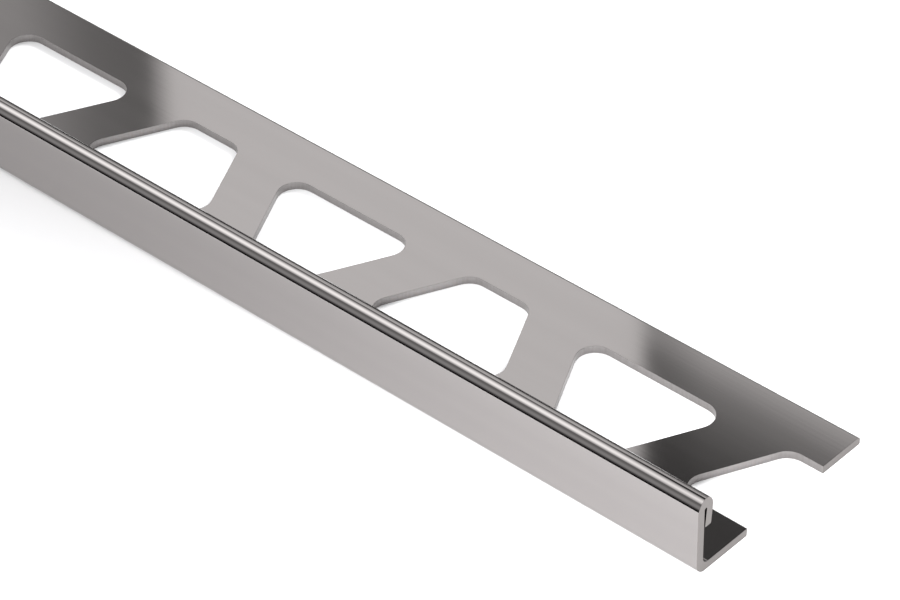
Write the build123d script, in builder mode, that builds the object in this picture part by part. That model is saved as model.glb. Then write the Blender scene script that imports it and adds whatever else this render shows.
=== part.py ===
from build123d import *
from math import atan2, cos, degrees, floor, radians, sin, tan
import os

os.makedirs("parts", exist_ok=True)

# A tile edge trim rolled from one strip of stainless sheet, lying on its flange.
# X runs along the strip, Y from the wall that shows to the flange's outer edge, Z up.
# The origin is under the middle of the strip, on the level that the flange lies on.
# All sizes are in millimetres.

# Strip
length = 1000.0
height = 10.0
flange_width = 27.6
sheet = 1.0
bend_inner_radius = 0.8

# Hem along the top of the wall
hem_gap = 0.3
hem_leg = 4.0
hem_fold_thickness = 1.4
hem_crown_radius = 1.0
hem_flank_angle = 28.5
hem_back_drop = 1.45

# Slit edge of the flange
slit_edge_top_radius = 0.4
slit_edge_bottom_radius = 0.2

# Punched holes in the flange
pitch = 44.4
hole_start = 8.4
hole_depth = 12.8
hole_long_side = 21.0
hole_short_side = 8.5
hole_corner_radius = 2.3

# Places across the strip, from the wall's front face back
front_y = -flange_width / 2
wall_back_y = front_y + sheet
leg_front_y = wall_back_y + hem_gap
leg_back_y = leg_front_y + sheet
apex_y = (front_y + leg_back_y) / 2
outer_y = front_y + flange_width

# Heights of the hem
leg_bottom_z = height - hem_leg
slot_end_z = height - hem_fold_thickness - hem_gap / 2
crown_z = height - hem_crown_radius

# The hem's flank leans back from the wall's front face and runs tangent into the crown.
flank_top_y = apex_y - hem_crown_radius * cos(radians(hem_flank_angle))
flank_top_z = crown_z + hem_crown_radius * sin(radians(hem_flank_angle))
flank_bottom_z = flank_top_z - (flank_top_y - front_y) / tan(radians(hem_flank_angle))

bend_outer_radius = bend_inner_radius + sheet

# The section is one outline, drawn from the foot of the wall up over the hem,
# down its leg, up and down the slot between leg and wall, and out along the flange.
with BuildPart() as edge_trim:
    with BuildSketch(Plane.YZ.offset(-length / 2)) as section:
        with BuildLine() as outline:
            Line((front_y, bend_outer_radius), (front_y, flank_bottom_z))
            Line((front_y, flank_bottom_z), (flank_top_y, flank_top_z))
            CenterArc((apex_y, crown_z), hem_crown_radius, 90, 90 - hem_flank_angle)
            EllipticalCenterArc(
                (apex_y, height - hem_back_drop),
                leg_back_y - apex_y,
                hem_back_drop,
                start_angle=0,
                arc_size=90,
            )
            Line((leg_back_y, height - hem_back_drop), (leg_back_y, leg_bottom_z))
            Line((leg_back_y, leg_bottom_z), (leg_front_y, leg_bottom_z))
            Line((leg_front_y, leg_bottom_z), (leg_front_y, slot_end_z))
            CenterArc((wall_back_y + hem_gap / 2, slot_end_z), hem_gap / 2, 0, 180)
            Line((wall_back_y, slot_end_z), (wall_back_y, bend_outer_radius))
            CenterArc(
                (wall_back_y + bend_inner_radius, bend_outer_radius), bend_inner_radius, 180, 90
            )
            Line((wall_back_y + bend_inner_radius, sheet), (outer_y - slit_edge_top_radius, sheet))
            CenterArc(
                (outer_y - slit_edge_top_radius, sheet - slit_edge_top_radius),
                slit_edge_top_radius,
                90,
                -90,
            )
            Line((outer_y, sheet - slit_edge_top_radius), (outer_y, slit_edge_bottom_radius))
            CenterArc(
                (outer_y - slit_edge_bottom_radius, slit_edge_bottom_radius),
                slit_edge_bottom_radius,
                0,
                -90,
            )
            Line((outer_y - slit_edge_bottom_radius, 0), (front_y + bend_outer_radius, 0))
            CenterArc(
                (front_y + bend_outer_radius, bend_outer_radius), bend_outer_radius, 270, -90
            )
        make_face()
    extrude(amount=length)

    # One hole, long side towards the wall, its sides sloping in towards the outer edge.
    with BuildSketch(mode=Mode.PRIVATE) as hole:
        Trapezoid(
            hole_long_side,
            hole_depth,
            degrees(atan2(hole_depth, (hole_long_side - hole_short_side) / 2)),
        )
        fillet(hole.vertices(), hole_corner_radius)

    # The holes lie head to foot, so that slanting bars of even width stay between them.
    # The strip is sawn off through the middle of a hole, so the row starts there.
    with BuildSketch() as perforation:
        for step in range(floor(length / (pitch / 2)) + 2):
            with Locations((length / 2 - step * pitch / 2, front_y + hole_start + hole_depth / 2)):
                add(hole.sketch, rotation=180 * (step % 2))
    extrude(amount=sheet, mode=Mode.SUBTRACT)

edge_trim.part.label = "edge_trim"
export_step(edge_trim.part, "parts/edge_trim.step")
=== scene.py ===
from math import atan, cos, degrees, hypot, radians, tan

import bpy
import numpy as np
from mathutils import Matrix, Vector


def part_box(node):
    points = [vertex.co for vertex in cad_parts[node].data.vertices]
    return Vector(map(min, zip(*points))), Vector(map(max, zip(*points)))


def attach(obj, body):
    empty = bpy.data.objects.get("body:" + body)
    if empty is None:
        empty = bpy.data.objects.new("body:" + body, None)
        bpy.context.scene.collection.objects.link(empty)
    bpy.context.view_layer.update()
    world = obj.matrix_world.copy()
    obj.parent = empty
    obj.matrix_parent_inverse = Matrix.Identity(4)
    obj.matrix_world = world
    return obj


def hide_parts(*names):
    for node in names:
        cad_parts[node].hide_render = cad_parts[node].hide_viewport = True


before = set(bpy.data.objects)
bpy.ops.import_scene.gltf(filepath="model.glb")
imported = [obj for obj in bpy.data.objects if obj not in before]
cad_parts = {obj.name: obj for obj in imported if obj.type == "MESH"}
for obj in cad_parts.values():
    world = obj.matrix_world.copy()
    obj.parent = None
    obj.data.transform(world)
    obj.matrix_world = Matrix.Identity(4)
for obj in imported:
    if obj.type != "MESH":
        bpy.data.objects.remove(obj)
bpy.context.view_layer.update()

# A stainless tile edge trim: a low wall with a hem folded over its top, and a flange of punched
# holes. Shapes are worked out in millimetres in the frame's own axes, and become metres when a mesh is
# made. The frame's box is read to the nearest micrometre.
MM = 0.001
trim_low, trim_high = (np.round(np.array(corner) / MM, 3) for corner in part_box("edge_trim"))
END = trim_high[0]
FRONT, OUTER = trim_low[1], trim_high[1]
HEIGHT = trim_high[2]
SHEET = 1.0

# Hem: the sheet creases back from the wall, rises in a shallow flank, rolls over a tight crown to its
# shoulder, and turns down its back over a narrow edge into a leg that leans in towards the wall by
# this angle, in degrees. Each bend is its radius, the angle of its normal up from +Y where it ends,
# and its steps.
LEG_LEAN = 4.5
CREASE = (0.1, 156.2, 3)
FLANK = (5.5, 146.5, 4)
CROWN = (0.98, 90, 12)
SHOULDER = (0.83, 68, 6)
EDGE = (0.1, 56, 3)
BACK = (1.7, -LEG_LEAN, 10)

# The slot between leg and wall, as wide as this at its top, and the slit edge that ends the leg
SLOT = 0.4
SLOT_TOP = 8.45
SLOT_STEPS = 8
LEG_BOTTOM = 6.0
LEG_CORNER_RADIUS = 0.12
LEG_CORNER_STEPS = 4

# The wall springs open: from the hem down it leans back by this angle, in degrees. Its foot is
# pressed square, so the outer radius is less than the inner one and the sheet together.
WALL_LEAN = 1.1
FOOT_OUTER_RADIUS = 1.42
FOOT_OUTER_STEPS = 14
FOOT_INNER_RADIUS = 0.85
FOOT_INNER_STEPS = 10

# Slit outer edge of the flange
SLIT_TOP_RADIUS = 0.4
SLIT_TOP_STEPS = 8
SLIT_BOTTOM_RADIUS = 0.2
SLIT_BOTTOM_STEPS = 5

# Punched holes, long side in turn towards the wall and towards the outer edge. The pitch is that of
# the holes that lie the same way round, and the band that holds them goes past them by a margin.
PITCH = 44.4
HOLE_START = 8.4
HOLE_DEPTH = 12.8
LONG_SIDE = 21.0
SHORT_SIDE = 8.5
HOLE_CORNER_RADIUS = 2.3
BAND_MARGIN = 3.0

# Steps along half a hole: its long side, long corner, slant, short corner and short side. The three
# sides of the cell of sheet round it have as many between them.
OUTLINE_STEPS = (2, 10, 3, 6, 1)
CELL_STEPS = (7, 11, 4)

# The punched edge: a flat rim on top, a rolled-over lip, a burnished land down to this height, and a
# fracture that has widened by its taper at the underside
RIM = 0.5
ROLLOVER_RADIUS = 0.03
ROLLOVER_STEPS = 4
LAND_BOTTOM = 0.5
FRACTURE_TAPER = 0.04

# The saw leaves the ends square, with their edges just broken.
EDGE_BREAK = 0.02
CUT = END - EDGE_BREAK

# How far a hole's slant comes in for each millimetre of its depth
SLOPE = (LONG_SIDE - SHORT_SIDE) / 2 / HOLE_DEPTH

# Lines along the flange: the middle of the holes, and the edges of the band that they are punched in
HALF_DEPTH = HOLE_DEPTH / 2
HALF_CELL = HALF_DEPTH + BAND_MARGIN
MIDDLE = FRONT + HOLE_START + HALF_DEPTH
INNER_LINE = MIDDLE - HALF_CELL
OUTER_LINE = MIDDLE + HALF_CELL

# Decimals of a millimetre that tell two stations along the trim apart, and two points of the mesh
STATION_DECIMALS = 6
POINT_DECIMALS = 4

# Finishes, in the order of the piece's material slots
ROLLED, SHEARED, SAWN = range(3)


def turned(angle):
    """Unit vectors (y, z) at angles in degrees from +Y: cosine and sine."""
    return np.stack([np.cos(np.radians(angle)), np.sin(np.radians(angle))], -1)


def evenly(start, stop, steps):
    """Points, or numbers, from start to stop in even steps."""
    return np.linspace(start, stop, steps + 1)


def run_on(stretches):
    """Stretches that each start where the last one ends, as one run that has no point twice."""
    return np.concatenate([stretches[0], *(stretch[1:] for stretch in stretches[1:])])


def straight(start, stop):
    """The two ends of a line, with its direction turned a quarter to the left as their normals."""
    points = np.array([start, stop], float)
    along = (points[1] - points[0]) / np.linalg.norm(points[1] - points[0])
    return points, np.tile([-along[1], along[0]], (2, 1))


def bend(start, radius, first, last, steps):
    """A circular bend from start whose normal turns from angle first to angle last.

    A point is start plus radius times the change of the normal, and minus that in a hollow bend,
    where the normal turns to the left.
    """
    normals = turned(evenly(first, last, steps))
    side = 1 if last < first else -1
    return np.array(start) + side * radius * (normals - normals[0]), normals


def hem_bends(crease_z):
    """The bends of the hem from the wall's top to the leg, each starting where the last one ends."""
    bends = []
    start, first = (FRONT, crease_z), 180
    for radius, last, steps in (CREASE, FLANK, CROWN, SHOULDER, EDGE, BACK):
        bends.append(bend(start, radius, first, last, steps))
        start, first = bends[-1][0][-1], last
    return bends


def folded_section():
    """The section from the flange's underside round the foot, up the wall, over the hem, down its leg,
    up and down the slot behind it, and out to the flange's top, as stretches with their finish.

    The hem is set so high that its top is the trim's. The wall's face and back lean with depth below
    the crease, and a circle that touches the face or the back and its level centres each foot bend.
    """
    leg_front = FRONT + SHEET + SLOT
    leg_end = LEG_BOTTOM + LEG_CORNER_RADIUS
    crease_z = HEIGHT - max(points[:, 1].max() for points, _ in hem_bends(0.0))
    hem = hem_bends(crease_z)
    leg_back, back_z = hem[-1][0][-1]
    tip_back = leg_back - (back_z - leg_end) * tan(radians(LEG_LEAN))
    tip_front = leg_front - (SLOT_TOP - leg_end) * tan(radians(LEG_LEAN))

    def wall_y(z):
        return FRONT + (crease_z - z) * tan(radians(WALL_LEAN))

    def foot_centre(level, depth, radius):
        z = level + radius
        return np.array([wall_y(z) + (depth + radius) / cos(radians(WALL_LEAN)), z])

    outer_centre = foot_centre(0, 0, FOOT_OUTER_RADIUS)
    inner_centre = foot_centre(SHEET, SHEET, FOOT_INNER_RADIUS)
    outer_start = (outer_centre[0], 0)
    outer_bend = bend(outer_start, FOOT_OUTER_RADIUS, 270, 180 + WALL_LEAN, FOOT_OUTER_STEPS)
    inner_start = inner_centre - FOOT_INNER_RADIUS * turned(WALL_LEAN)
    slot_y = wall_y(SLOT_TOP) + SHEET
    slot_radius = (leg_front - slot_y) / 2
    back_corner = (tip_back - LEG_CORNER_RADIUS, LEG_BOTTOM)
    front_corner = (tip_front + LEG_CORNER_RADIUS, LEG_BOTTOM)
    up = [
        straight((INNER_LINE, 0), outer_start),
        outer_bend,
        straight(outer_bend[0][-1], (FRONT, crease_z)),
        *hem,
        straight((leg_back, back_z), (tip_back, leg_end)),
        bend((tip_back, leg_end), LEG_CORNER_RADIUS, 0, -90, LEG_CORNER_STEPS),
    ]
    down = [
        bend(front_corner, LEG_CORNER_RADIUS, -90, -180, LEG_CORNER_STEPS),
        straight((tip_front, leg_end), (leg_front, SLOT_TOP)),
        bend((leg_front, SLOT_TOP), slot_radius, 180, 360, SLOT_STEPS),
        straight((slot_y, SLOT_TOP), inner_start),
        bend(inner_start, FOOT_INNER_RADIUS, WALL_LEAN, 90, FOOT_INNER_STEPS),
        straight((inner_centre[0], SHEET), (INNER_LINE, SHEET)),
    ]
    return [
        *((*stretch, ROLLED) for stretch in up),
        (*straight(back_corner, front_corner), SHEARED),
        *((*stretch, ROLLED) for stretch in down),
    ]


def slit_edge_section():
    """The section from the flange's top round the slit outer edge to its underside."""
    top, bottom = OUTER - SLIT_TOP_RADIUS, OUTER - SLIT_BOTTOM_RADIUS
    return [
        (*straight((OUTER_LINE, SHEET), (top, SHEET)), ROLLED),
        (*bend((top, SHEET), SLIT_TOP_RADIUS, 90, 0, SLIT_TOP_STEPS), ROLLED),
        (*straight((OUTER, SHEET - SLIT_TOP_RADIUS), (OUTER, SLIT_BOTTOM_RADIUS)), SHEARED),
        (*bend((OUTER, SLIT_BOTTOM_RADIUS), SLIT_BOTTOM_RADIUS, 0, -90, SLIT_BOTTOM_STEPS), ROLLED),
        (*straight((bottom, 0), (OUTER_LINE, 0)), ROLLED),
    ]


def swept(points, normals, stations):
    """A stretch of the section carried along X, with one row of the grid for each of its points."""
    shape = (len(points), len(stations))
    x = np.broadcast_to(stations, shape)
    across = [np.broadcast_to(values[:, None], shape) for values in (*points.T, *normals.T)]
    place = np.stack([x, across[0], across[1]], -1)
    facing = np.stack([np.zeros(shape), across[2], across[3]], -1)
    return place, facing


def hole_outline(cut):
    """Half the outline of a hole that is centred on (0, 0) with its long side at low v, from u = cut
    on the long side to u = cut on the short side, and its normals, which point into the metal.

    It is a trapezoid whose two corners are arcs, each set back from its corner by the radius times
    the tangent of half its turn.
    """
    lean = degrees(atan(SLOPE))
    slant = np.array([-SLOPE, 1]) / hypot(SLOPE, 1)
    long_setback = HOLE_CORNER_RADIUS * tan(radians(90 + lean) / 2)
    short_setback = HOLE_CORNER_RADIUS * tan(radians(90 - lean) / 2)
    long_corner = np.array([LONG_SIDE / 2, -HALF_DEPTH])
    short_corner = np.array([SHORT_SIDE / 2, HALF_DEPTH])
    long_stop = long_corner - [long_setback, 0]
    slant_start = long_corner + long_setback * slant
    slant_stop = short_corner - short_setback * slant
    short_start = short_corner - [short_setback, 0]
    long_centre = long_stop + [0, HOLE_CORNER_RADIUS]
    short_centre = short_start - [0, HOLE_CORNER_RADIUS]
    long_steps, long_turn_steps, slant_steps, short_turn_steps, short_steps = OUTLINE_STEPS
    long_turn = evenly(-90, lean, long_turn_steps)
    short_turn = evenly(lean, 90, short_turn_steps)
    runs = [
        (evenly((cut, -HALF_DEPTH), long_stop, long_steps), np.full(long_steps + 1, -90)),
        (long_centre + HOLE_CORNER_RADIUS * turned(long_turn), long_turn),
        (evenly(slant_start, slant_stop, slant_steps), np.full(slant_steps + 1, lean)),
        (short_centre + HOLE_CORNER_RADIUS * turned(short_turn), short_turn),
        (evenly(short_start, (cut, HALF_DEPTH), short_steps), np.full(short_steps + 1, 90)),
    ]
    return run_on([points for points, _ in runs]), turned(run_on([angles for _, angles in runs]))


def cell_line(cut):
    """The edge of the half cell of sheet round that half hole: a larger trapezoid whose slant lies
    halfway across the bar to the next hole. Each of its points has its partner on the outline."""
    wide = (PITCH / 4 + SLOPE * HALF_CELL, -HALF_CELL)
    narrow = (PITCH / 4 - SLOPE * HALF_CELL, HALF_CELL)
    corners = [(cut, -HALF_CELL), wide, narrow, (cut, HALF_CELL)]
    return run_on([evenly(*side) for side in zip(corners[:-1], corners[1:], CELL_STEPS)])


def punched_half(centre, way, turn, cut):
    """The sheet round half a hole as grids, from the cell's line on top, over the punched edge, to the
    cell's line on the underside. way is the half's side along X, and turn is -1 for a hole that is
    turned head to foot.

    A row is the outline pushed into the metal by an offset, at a height. The edge is a rolled-over
    lip, a burnished land straight down, and a fracture that tapers out to the underside.
    """
    outline, into_metal, cell = (flat * [way, turn] for flat in (*hole_outline(cut), cell_line(cut)))

    def row(flat, z):
        return np.column_stack([centre + flat, np.full(len(flat), z)])

    def facing(inward, upward):
        return np.column_stack([-inward * into_metal, np.full(len(into_metal), upward)])

    lip_turn = turned(evenly(90, 0, ROLLOVER_STEPS))
    lip_offsets = ROLLOVER_RADIUS * (1 - lip_turn)
    lip = [row(outline + inward * into_metal, SHEET - drop) for inward, drop in lip_offsets]
    lip_facing = [facing(inward, upward) for inward, upward in lip_turn]
    land_bottom = row(outline, LAND_BOTTOM)
    foot = row(outline + FRACTURE_TAPER * into_metal, 0)
    flare = hypot(FRACTURE_TAPER, LAND_BOTTOM)
    flare_facing = facing(LAND_BOTTOM / flare, -FRACTURE_TAPER / flare)
    rim = row(outline + RIM * into_metal, SHEET)
    return [
        ([row(cell, SHEET), rim, lip[0]], [facing(0, 1)] * 3, ROLLED),
        (lip, lip_facing, SHEARED),
        ([lip[-1], land_bottom], [facing(1, 0)] * 2, SHEARED),
        ([land_bottom, foot], [flare_facing] * 2, SHEARED),
        ([foot, row(cell, 0)], [facing(0, -1)] * 2, ROLLED),
    ]


def perforated_band():
    """The band of holes as half cells, from the end that is sawn through a hole's middle. Every other
    hole is turned head to foot. A half goes on from its hole's middle, or from the saw's cut where the
    saw took the hole's other half off."""
    half_pitch = PITCH / 2
    last = int(2 * END / half_pitch)
    halves = []
    for step in range(last + 1):
        centre = np.array([END - step * half_pitch, MIDDLE])
        turn = (-1) ** step
        if step > 0:
            halves.append((centre, 1, turn, -CUT - centre[0] if step == last else 0.0))
        if step < last:
            halves.append((centre, -1, turn, centre[0] - CUT if step == 0 else 0.0))
    return [grid for half in halves for grid in punched_half(*half)]


def outline_of(stretches):
    """A closed run of stretches as one ring of points, with the mean normal where two of them meet."""
    points = np.concatenate([place[:-1] for place, _ in stretches])
    normals = np.zeros_like(points)
    first = 0
    for place, facing in stretches:
        index = np.arange(first, first + len(place)) % len(points)
        normals[index] += facing
        first += len(place) - 1
    return points, normals / np.linalg.norm(normals, axis=1)[:, None]


def sawn_face(way, stretches):
    """One closed outline of an end: a narrow edge broken at 45 degrees, whose points step in against
    their normals, and the flat face that the saw left."""
    points, normals = outline_of(stretches)
    ring = np.append(np.arange(len(points)), 0)
    outer = np.column_stack([np.full(len(points), way * CUT), points])[ring]
    inner = np.column_stack([np.full(len(points), way * END), points - EDGE_BREAK * normals])[ring]
    share = cos(radians(45))
    facing = np.column_stack([np.full(len(points), way * share), share * normals])[ring]
    return ([outer, inner], [facing, facing], SAWN), (inner[:-1], np.array([way, 0.0, 0.0]), SAWN)


def sawn_ends(band, folded, slit):
    """Both ends, where the saw goes through a hole: the folded section closed by that hole's edge, and
    beyond the hole the slit section closed by its other edge. Those edges are the first or last
    columns of the band's grids that lie at the saw's cut."""
    faces = []
    for way in (1, -1):
        near, far = [], []
        for rows, facing, _ in band:
            place, facing = np.array(rows), np.array(facing)
            for column in (0, -1):
                if np.allclose(place[:, column, 0], way * CUT):
                    edge = place[:, column, 1:], facing[:, column, 1:]
                    (near if edge[0][0, 0] < MIDDLE else far).append(edge)
        faces.append(sawn_face(way, [*folded, *near]))
        back = [(place[::-1], facing[::-1]) for place, facing in far[::-1]]
        faces.append(sawn_face(way, [*slit, *back]))
    return faces


def grid_faces(rows, facing):
    """A grid's points, its quads, and the normal of each of their corners. A quad whose diagonals'
    cross product lies against its normals is turned round."""
    place, facing = np.array(rows, float), np.array(facing, float)
    index = np.arange(place.shape[0] * place.shape[1]).reshape(place.shape[:2])
    around = [index[:-1, :-1], index[1:, :-1], index[1:, 1:], index[:-1, 1:]]
    quads = np.stack(around, -1).reshape(-1, 4)
    points, facing = place.reshape(-1, 3), facing.reshape(-1, 3)
    first, second, third, fourth = points[quads].transpose(1, 0, 2)
    spans = np.cross(third - first, fourth - second)
    against = (spans * facing[quads].mean(1)).sum(1) < 0
    quads[against] = quads[against, ::-1]
    return points, quads, facing[quads]


def plate_face(points, facing):
    """A flat outline's points, its one face, and the normal of each of its corners. The face is turned
    round where its area vector lies against its normal."""
    corners = np.arange(len(points))
    area = np.cross(points, np.roll(points, -1, 0)).sum(0)
    if area @ facing < 0:
        corners = corners[::-1]
    return points, corners[None], np.tile(facing, (len(points), 1))


def joined(grids, plates, name, finishes):
    """One closed mesh of quad grids and flat plates. Points that meet are welded, and every corner
    keeps the normal that its own formula gave."""
    patches = [(*grid_faces(rows, facing), finish) for rows, facing, finish in grids]
    patches += [(*plate_face(place, facing), finish) for place, facing, finish in plates]
    places, faces, facings, materials = zip(*patches)
    starts = np.cumsum([0, *(len(place) for place in places[:-1])])
    points = np.concatenate(places)
    corners = np.concatenate([(face + start).ravel() for face, start in zip(faces, starts)])
    normals = np.concatenate([facing.reshape(-1, 3) for facing in facings])
    sizes = np.concatenate([np.full(len(face), face.shape[1]) for face in faces])
    materials = np.repeat(materials, [len(face) for face in faces])
    rounded = np.round(points, POINT_DECIMALS)
    _, kept, weld = np.unique(rounded, axis=0, return_index=True, return_inverse=True)
    mesh = bpy.data.meshes.new(name)
    mesh.vertices.add(len(kept))
    mesh.vertices.foreach_set("co", (points[kept] * MM).ravel())
    mesh.loops.add(len(corners))
    mesh.loops.foreach_set("vertex_index", weld.ravel()[corners])
    mesh.polygons.add(len(sizes))
    mesh.polygons.foreach_set("loop_start", np.cumsum(sizes) - sizes)
    mesh.polygons.foreach_set("material_index", materials)
    mesh.polygons.foreach_set("use_smooth", np.ones(len(sizes), bool))
    mesh.update(calc_edges=True)
    mesh.validate()
    mesh.normals_split_custom_set(normals)
    for material in finishes:
        mesh.materials.append(material)
    made = bpy.data.objects.new(name, mesh)
    bpy.context.scene.collection.objects.link(made)
    return made


def node(tree, kind, inputs=None, **properties):
    """Adds a shader node, sets its properties, and fills its inputs with values or with links."""
    made = tree.nodes.new(kind)
    for name, value in properties.items():
        setattr(made, name, value)
    for key, value in (inputs or {}).items():
        if isinstance(value, bpy.types.NodeSocket):
            tree.links.new(value, made.inputs[key])
        else:
            made.inputs[key].default_value = value
    return made


def mixed(tree, share, first, second):
    """A colour that goes from the first to the second with share. A mix node has its two colours at
    inputs 6 and 7 and the mixed one at output 2."""
    made = node(tree, "ShaderNodeMix", {"Factor": share, 6: first, 7: second}, data_type="RGBA")
    return made.outputs[2]


def linear(hex_colour):
    """An sRGB colour such as "C8C4C2" as linear red, green, blue and alpha."""
    value = np.array([int(hex_colour[i:i + 2], 16) for i in (0, 2, 4)]) / 255
    value = np.where(value <= 0.04045, value / 12.92, ((value + 0.055) / 1.055) ** 2.4)
    return (*value.tolist(), 1.0)


def patterned(tree, size, detail=2.0, lean=0.0):
    """Noise whose features are size millimetres along X, Y and Z, leaning from upright by lean degrees
    about X."""
    place = node(tree, "ShaderNodeTexCoord")
    turn = node(
        tree,
        "ShaderNodeMapping",
        {"Vector": place.outputs["Object"], "Rotation": (radians(lean), 0, 0)},
    )
    stretch = node(
        tree,
        "ShaderNodeMapping",
        {"Vector": turn.outputs["Vector"], "Scale": [1 / (length * MM) for length in size]},
    )
    noise = node(
        tree,
        "ShaderNodeTexNoise",
        {"Vector": stretch.outputs["Vector"], "Scale": 1.0, "Detail": detail},
    )
    return noise.outputs["Fac"]


def new_tree(name):
    """A material with an empty node tree."""
    material = bpy.data.materials.new(name)
    material.use_nodes = True
    material.node_tree.nodes.clear()
    return material, material.node_tree


# Most of a noise pattern's values lie between these two.
NOISE_LOW, NOISE_HIGH = 0.3, 0.7


def finish_metal(tree, pattern, dark, light, roughness, relief, relief_height, edge_tint=1.0):
    """Bare metal whose colour and roughness go from their first to their second value with a
    pattern, under a relief of that height in millimetres. edge_tint is how much of its mirror it
    keeps at a glancing angle."""
    tone = node(
        tree,
        "ShaderNodeMapRange",
        {"Value": pattern, "From Min": NOISE_LOW, "From Max": NOISE_HIGH},
    )
    rough = node(
        tree,
        "ShaderNodeMapRange",
        {"Value": tone.outputs["Result"], "To Min": roughness[0], "To Max": roughness[1]},
    )
    bump = node(tree, "ShaderNodeBump", {"Height": relief, "Distance": relief_height * MM})
    shader = node(
        tree,
        "ShaderNodeBsdfPrincipled",
        {
            "Base Color": mixed(tree, tone.outputs["Result"], linear(dark), linear(light)),
            "Metallic": 1.0,
            "Specular Tint": (edge_tint, edge_tint, edge_tint, 1),
            "Roughness": rough.outputs["Result"],
            "Normal": bump.outputs["Normal"],
        },
    )
    node(tree, "ShaderNodeOutputMaterial", {"Surface": shader.outputs["BSDF"]})


def bright_rolled_stainless():
    """Bright cold-rolled stainless steel, as polished rolls leave it: close to a mirror and faintly
    warm, with the finest grain and broad weak streaks along the strip. The real grain is too fine to
    show, and is drawn coarser."""
    material, tree = new_tree("bright_rolled_stainless")
    streaks = patterned(tree, (220, 2.6, 2.6))
    grain = patterned(tree, (24, 0.3, 0.3), detail=3.0)
    finish_metal(tree, streaks, "9E9A99", "A19D9C", (0.034, 0.044), grain, 0.0002, edge_tint=0.7)
    return material


def punched_stainless():
    """Sheared stainless steel, as the punch and the slitting knives leave it: matt and a little
    darker, with upright score lines, drawn coarser than the real ones so that they show."""
    material, tree = new_tree("punched_stainless")
    scores = patterned(tree, (0.22, 0.22, 3.0))
    finish_metal(tree, scores, "8A8685", "949190", (0.34, 0.46), scores, 0.004)
    return material


def sawn_stainless():
    """Stainless steel as a fine-toothed cut-off saw leaves it: matt, with close lines that lean a
    little off upright, drawn coarser than the real ones so that they show."""
    material, tree = new_tree("sawn_stainless")
    lines = patterned(tree, (1.0, 0.14, 4.0), lean=25)
    finish_metal(tree, lines, "706C6A", "7A7674", (0.38, 0.48), lines, 0.003)
    return material


def trim():
    """The whole trim as one closed piece: the two swept sections, the punched band between them, and
    the sawn ends. A swept section has a station wherever the band has a point on the line where the
    two meet."""
    band = perforated_band()
    places = np.concatenate([np.concatenate(rows) for rows, _, _ in band])
    folded, slit = folded_section(), slit_edge_section()
    grids = list(band)
    for section, line in ((folded, INNER_LINE), (slit, OUTER_LINE)):
        on_line = places[np.isclose(places[:, 1], line), 0]
        stations = np.unique(np.round(on_line, STATION_DECIMALS))
        grids += [(*swept(points, normals, stations), finish) for points, normals, finish in section]
    outlines = ([stretch[:2] for stretch in section] for section in (folded, slit))
    ends = sawn_ends(band, *outlines)
    grids += [grid for grid, _ in ends]
    plates = [plate for _, plate in ends]
    finishes = [bright_rolled_stainless(), punched_stainless(), sawn_stainless()]
    return joined(grids, plates, "tile_edge_trim", finishes)


# The studio is painted by direction, as (angle, brightness) stops. A ramp holds shares of the peak, and
# the gain is the exposure of the whole.
STUDIO_PEAK = 2.4
STUDIO_GAIN = 1.33

# Brightness by the angle about the trim, from the horizon behind it (0), over its top (90), to the
# horizon before it (180): a strip light behind, a dark gap, a long softbox overhead, and a black flag
# at the horizon
ALONG = [
    (0, 0.05), (20, 0.08), (36, 0.33), (44, 0.5), (52, 0.5), (58, 0.8), (64, 0.97), (70, 0.87),
    (75, 0.5), (80, 0.22), (85, 0.2), (90, 0.38), (96, 0.66), (102, 1.01), (108, 1.36), (114, 1.65),
    (120, 1.84), (126, 1.91), (132, 1.89), (138, 1.72), (144, 1.34), (150, 1.0), (155, 0.78),
    (159, 0.55), (162, 0.22), (165, 0.26), (168, 0.42), (172, 0.4), (175, 0.1), (177.5, 0.01),
    (180, 0),
]
# The same beyond the near end of the strip light and its panel, where the studio behind falls off
# upwards
BEYOND = [
    (0, 0.05), (36, 0.36), (45.5, 0.92), (45.88, 0.66), (45.98, 0.42), (46.25, 0.33), (46.6, 0.27),
    (47.1, 0.16), (47.6, 0.08), (50, 0.075), (51, 0.6), (58, 0.98), (64, 0.76), (70, 0.13),
    (80, 0.01), (85, 0.09), (90, 0.3), (96, 0.68), (108, 1.2), (120, 1.57), (126, 1.7), (132, 1.66),
    (144, 1.26), (150, 1.0), (159, 0.55), (162, 0.22), (165, 0.26), (168, 0.42), (172, 0.4),
    (175, 0.1), (177.5, 0.01), (180, 0),
]
# The panel below the strip light and what lies to its left, by compass, and the share of light that a
# dark gap takes away just right of it
PANEL = [
    (128, 0.97), (136.75, 0.97), (137.2, 0.2), (138.2, 0.25), (138.6, 0.31), (139, 0.385),
    (139.4, 0.46), (142, 0.58),
]
GAP = [(126.8, 0), (127.8, 0.33)]
# The side of the studio towards the camera, by the angle about the trim: most of its light comes in
# low
NEAR_SIDE = [(0, 0.36), (60, 0.43), (100, 0.73), (140, 1.11), (180, 1.66)]

# The share of each where it gives way to its neighbour: the panel between its lower and upper edges, by
# the angle about the trim, and from its right edge, by compass; and by the direction's X, the strip
# light up to its near end, and the side towards the camera
PANEL_HEIGHT = [(43, 0), (44, 1), (50, 1), (51, 0)]
PANEL_START = [(127.9, 0), (128.2, 1)]
STRIP_END = [(-0.472, 1), (-0.462, 0)]
TOWARDS_CAMERA = [(-0.4, 0), (-0.25, 1)]


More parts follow.
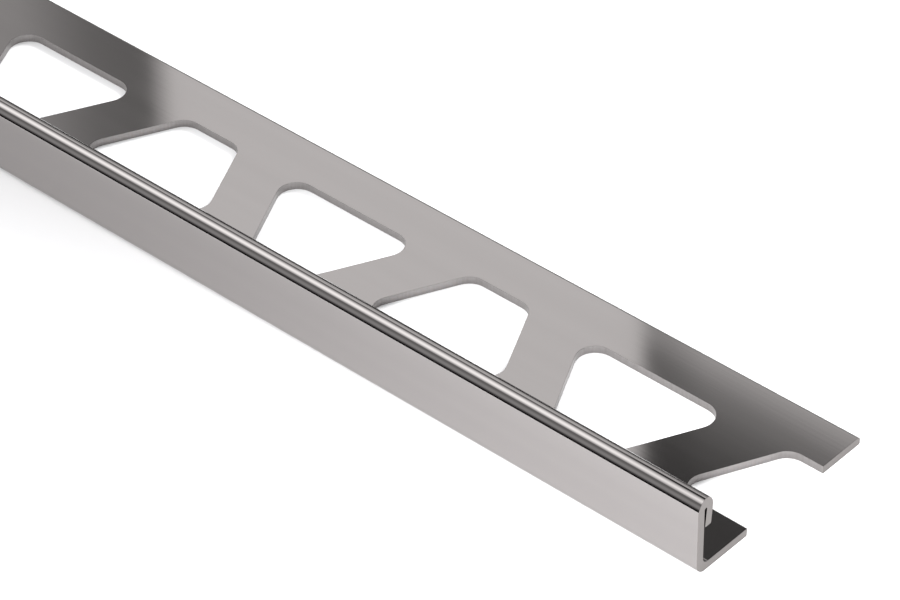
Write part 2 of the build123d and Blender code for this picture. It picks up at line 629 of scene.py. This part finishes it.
def ramp(tree, value, stops, top=1.0):
    """Grey by a value, from (value, grey) stops, as a share of top."""
    low, high = stops[0][0], stops[-1][0]
    share = node(tree, "ShaderNodeMapRange", {"Value": value, "From Min": low, "From Max": high})
    made = node(tree, "ShaderNodeValToRGB", {"Fac": share.outputs["Result"]})
    elements = made.color_ramp.elements
    while len(elements) < len(stops):
        elements.new(1.0)
    for element, (at, grey) in zip(elements, stops):
        element.position = (at - low) / (high - low)
        element.color = (grey / top, grey / top, grey / top, 1)
    return made.outputs["Color"]


def turn_about(tree, up, across):
    """The angle in degrees from across towards up."""
    angle = node(tree, "ShaderNodeMath", {0: up, 1: across}, operation="ARCTAN2").outputs[0]
    return node(tree, "ShaderNodeMath", {0: angle, 1: degrees(1)}, operation="MULTIPLY").outputs[0]


def studio():
    """Studio light painted by direction: what the hem, the flange and the wall mirror."""
    world = bpy.data.worlds.new("studio")
    bpy.context.scene.world = world
    world.use_nodes = True
    tree = world.node_tree
    tree.nodes.clear()
    place = node(tree, "ShaderNodeTexCoord")
    x, y, z = node(tree, "ShaderNodeSeparateXYZ", {"Vector": place.outputs["Generated"]}).outputs
    around = turn_about(tree, z, y)
    compass = turn_about(tree, y, x)
    along = ramp(tree, around, ALONG, STUDIO_PEAK)
    beyond = ramp(tree, around, BEYOND, STUDIO_PEAK)
    panel = ramp(tree, compass, PANEL, STUDIO_PEAK)
    near_side = ramp(tree, around, NEAR_SIDE, STUDIO_PEAK)
    black = (0, 0, 0, 1)
    shaded = mixed(tree, ramp(tree, compass, GAP), beyond, black)
    beside = mixed(tree, ramp(tree, compass, PANEL_START), shaded, panel)
    above = mixed(tree, ramp(tree, x, STRIP_END), beyond, along)
    far_side = mixed(tree, ramp(tree, around, PANEL_HEIGHT), above, beside)
    light = mixed(tree, ramp(tree, x, TOWARDS_CAMERA), far_side, near_side)
    strength = STUDIO_GAIN * STUDIO_PEAK
    background = node(tree, "ShaderNodeBackground", {"Color": light, "Strength": strength})
    node(tree, "ShaderNodeOutputWorld", {"Surface": background.outputs["Background"]})


def lamp(name, kind, place, aim, **settings):
    """A lamp at a place that shines towards aim. The metal doesn't mirror it."""
    light = bpy.data.lights.new(name, kind)
    for setting, value in settings.items():
        setattr(light, setting, value)
    stand = bpy.data.objects.new(name, light)
    bpy.context.scene.collection.objects.link(stand)
    stand.location = place
    stand.visible_glossy = False
    stand.rotation_euler = (Vector(aim) - stand.location).to_track_quat("-Z", "Y").to_euler()


def lamps():
    """A broad soft key from behind, which keeps the floor before the wall in even half shade, and a
    pool of light before the near end, so that the wall mirrors a floor that slowly gets brighter."""
    lamp("key", "SUN", place=(0.07, 0.82, 0.69), aim=(0, 0, 0), energy=2.92, angle=radians(28))
    lamp(
        "pool",
        "SPOT",
        place=(0.61, -0.44, 0.38),
        aim=(0.53, -0.02, 0.0),
        energy=18.3,
        spot_size=radians(25),
        spot_blend=1.0,
        shadow_soft_size=0.05,
    )


# Half the floor's side in metres, and how far below the flange's underside it lies in millimetres
FLOOR_REACH = 40.0
FLOOR_DROP = 0.02


def floor():
    """A plain pale floor of matt board, which shows no gloss, a hair below the flange's underside."""
    sides = ((-1, -1), (1, -1), (1, 1), (-1, 1))
    corners = [(FLOOR_REACH * x, FLOOR_REACH * y, -FLOOR_DROP * MM) for x, y in sides]
    mesh = bpy.data.meshes.new("floor")
    mesh.from_pydata(corners, [], [(0, 1, 2, 3)])
    material, tree = new_tree("matt_white_board")
    shader = node(tree, "ShaderNodeBsdfDiffuse", {"Color": linear("F4F4F5")})
    node(tree, "ShaderNodeOutputMaterial", {"Surface": shader.outputs["BSDF"]})
    mesh.materials.append(material)
    board = bpy.data.objects.new("floor", mesh)
    bpy.context.scene.collection.objects.link(board)


# The camera: its lens and film in millimetres, its place and nearest sight in metres, and its turn
# about X, Y and Z in degrees
LENS, FILM_WIDTH = 154.96, 36.0
EYE_PLACE = (0.67333, -0.24519, 0.26801)
EYE_TURN = (51.174, 0.144, 41.635)
NEAREST_SIGHT = 0.01


def camera():
    """The photograph's view: from before and above the near end, along the wall."""
    lens = bpy.data.cameras.new("camera")
    lens.lens = LENS
    lens.sensor_width = FILM_WIDTH
    lens.clip_start = NEAREST_SIGHT
    eye = bpy.data.objects.new("camera", lens)
    bpy.context.scene.collection.objects.link(eye)
    eye.location = EYE_PLACE
    eye.rotation_euler = [radians(angle) for angle in EYE_TURN]
    bpy.context.scene.camera = eye


piece = trim()
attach(piece, "root")
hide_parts("edge_trim")

studio()
floor()
lamps()
camera()
bpy.context.scene.view_settings.view_transform = "Standard"
